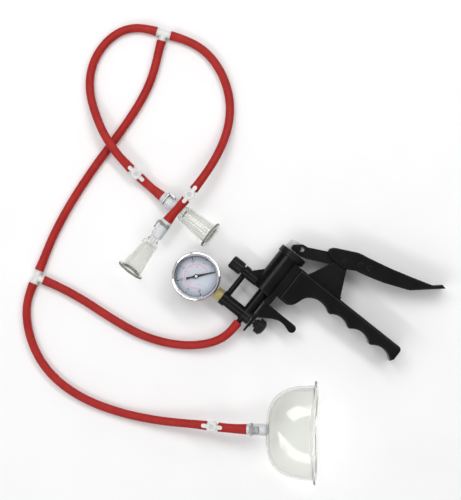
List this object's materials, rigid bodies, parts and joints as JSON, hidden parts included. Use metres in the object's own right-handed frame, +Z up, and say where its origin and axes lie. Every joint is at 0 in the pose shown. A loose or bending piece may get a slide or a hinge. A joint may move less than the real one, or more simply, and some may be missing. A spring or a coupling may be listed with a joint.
{
  "type": "hand vacuum pump",
  "caption": "Pistol-grip hand vacuum pump with dial gauge, release trigger and a branched red hose to suction cups.",
  "frame": {"origin": "middle of the pump's own footprint, on the surface that it lies on; the hose set lies beside it", "axes": "+X along the grip to its free end, +Y along the barrel from the gauge to the lever, +Z up out of the surface, towards the dial's face"},
  "size_m": [0.3757, 0.3047, 0.0519],
  "materials": {
    "black_plastic": "satin moulded",
    "black_metal": "semi-gloss black paint",
    "steel": "satin",
    "light_plastic": "moulded",
    "rubber_seal": "matte",
    "brass": "turned",
    "chrome_bezel": "polished",
    "gauge_black": "semi-gloss",
    "lens": "clear",
    "dial": "matte print",
    "red_hose": "satin",
    "white_plastic": "satin",
    "grey_plastic": "translucent satin",
    "latch_steel": "stamped",
    "clear_plastic": "clear moulded acrylic"
  },
  "bodies": {
    "pump": {"pump_body": "black_plastic", "barrel_cap": "black_plastic", "manifold": "black_plastic", "exhaust_cap": "black_plastic", "fulcrum_bracket": "black_metal", "bridge_tube": "black_metal", "trigger_pin": "black_metal", "fulcrum_pin": "black_metal", "bracket_screws": "black_metal", "return_spring": "steel", "stem_spring": "steel", "rod_bush": "light_plastic", "inlet_valve_disc": "rubber_seal", "exhaust_valve_disc": "rubber_seal", "gauge_adaptor": "brass", "valve_nut": "brass", "gauge_movement": "brass", "bourdon_tube": "brass", "gauge_bezel": "chrome_bezel", "gauge_case": "gauge_black", "gauge_lens": "lens", "gauge_dial": "dial", "pump_hose": "red_hose", "lower_hose": "red_hose", "riser_hose": "red_hose", "left_loop_hose": "red_hose", "right_loop_hose": "red_hose", "left_cup_hose": "red_hose", "right_cup_hose": "red_hose", "large_cup_hose": "red_hose", "pump_tee": "white_plastic", "splitter_tee": "white_plastic", "stopcock_left": "white_plastic", "stopcock_right": "white_plastic", "stopcock_lower": "white_plastic", "coupler_left": "grey_plastic", "coupler_right": "grey_plastic", "coupler_large": "grey_plastic", "suction_cylinder_left": "clear_plastic", "suction_cylinder_right": "clear_plastic", "large_cup": "clear_plastic"},
    "lever": {"lever_arm": "black_metal", "lever_grip": "black_plastic", "lever_rivets": "black_metal"},
    "piston": {"piston": "light_plastic", "piston_seal": "rubber_seal", "piston_rod": "steel", "rod_head": "light_plastic", "rod_pin": "black_metal"},
    "trigger": {"release_trigger": "black_plastic"},
    "release_valve": {"release_stem": "steel", "release_knob": "black_plastic", "stem_seal": "rubber_seal"},
    "needle": {"gauge_needle": "gauge_black"},
    "knob_left": {"stopcock_knob_left": "white_plastic"},
    "knob_right": {"stopcock_knob_right": "white_plastic"},
    "knob_lower": {"stopcock_knob_lower": "white_plastic"},
    "latch_left": {"coupler_latch_left": "latch_steel"},
    "latch_right": {"coupler_latch_right": "latch_steel"},
    "latch_large": {"coupler_latch_large": "latch_steel"}
  },
  "joints": [
    {"name": "lever_squeeze", "type": "hinge", "parent": "pump", "child": "lever", "pos_m": [0.0134, 0.0362, 0.0125], "axis": [0, 0, -1], "range_deg": [0, 26], "stiffness_Nm_per_rad": 0.5, "springref_deg": -5.73},
    {"name": "piston_slide", "type": "slide", "parent": "pump", "child": "piston", "axis": [0, 1, 0], "range_m": [0, 0.0181], "deforming": ["return_spring"]},
    {"name": "trigger_pull", "type": "hinge", "parent": "pump", "child": "trigger", "pos_m": [-0.0161, -0.0303, 0.0125], "axis": [0, 0, 1], "range_deg": [0, 6], "stiffness_Nm_per_rad": 0.05, "springref_deg": -2.86},
    {"name": "release_slide", "type": "slide", "parent": "pump", "child": "release_valve", "axis": [1, 0, 0], "range_m": [0, 0.0023], "deforming": ["stem_spring"]},
    {"name": "needle_sweep", "type": "hinge", "parent": "pump", "child": "needle", "pos_m": [-0.0767, -0.0515, 0.0125], "axis": [0, 0, 1], "range_deg": [0, 270], "stiffness_Nm_per_rad": 0.0005},
    {"name": "stopcock_turn_left", "type": "hinge", "parent": "pump", "child": "knob_left", "pos_m": [-0.17205, -0.01535, 0.0068], "axis": [0.2193, -0.0203, 0.9754], "range_deg": [0, 90]},
    {"name": "stopcock_turn_right", "type": "hinge", "parent": "pump", "child": "knob_right", "pos_m": [-0.1239, -0.00105, 0.02075], "axis": [-0.0002, -0.0101, 0.9999], "range_deg": [0, 90]},
    {"name": "stopcock_turn_lower", "type": "hinge", "parent": "pump", "child": "knob_lower", "pos_m": [0.013, -0.1424, 0.0157], "axis": [-0.1193, -0.0738, 0.9901], "range_deg": [0, 90]},
    {"name": "latch_press_left", "type": "slide", "parent": "pump", "child": "latch_left", "axis": [0, -1, 0], "range_m": [0, 0.0013], "stiffness_N_per_m": 200, "springref_m": -0.0005},
    {"name": "latch_press_right", "type": "slide", "parent": "pump", "child": "latch_right", "axis": [0.9998, 0.0209, 0], "range_m": [0, 0.0013], "stiffness_N_per_m": 200, "springref_m": -0.0005},
    {"name": "latch_press_large", "type": "slide", "parent": "pump", "child": "latch_large", "axis": [0.0898, 0.0689, -0.9936], "range_m": [0, 0.0013], "stiffness_N_per_m": 200, "springref_m": -0.0005}
  ],
  "couplings": [
    {"joint": "piston_slide", "follows": "lever_squeeze", "m_per_rad": 0.0393},
    {"joint": "release_slide", "follows": "trigger_pull", "m_per_rad": 0.0212}
  ]
}
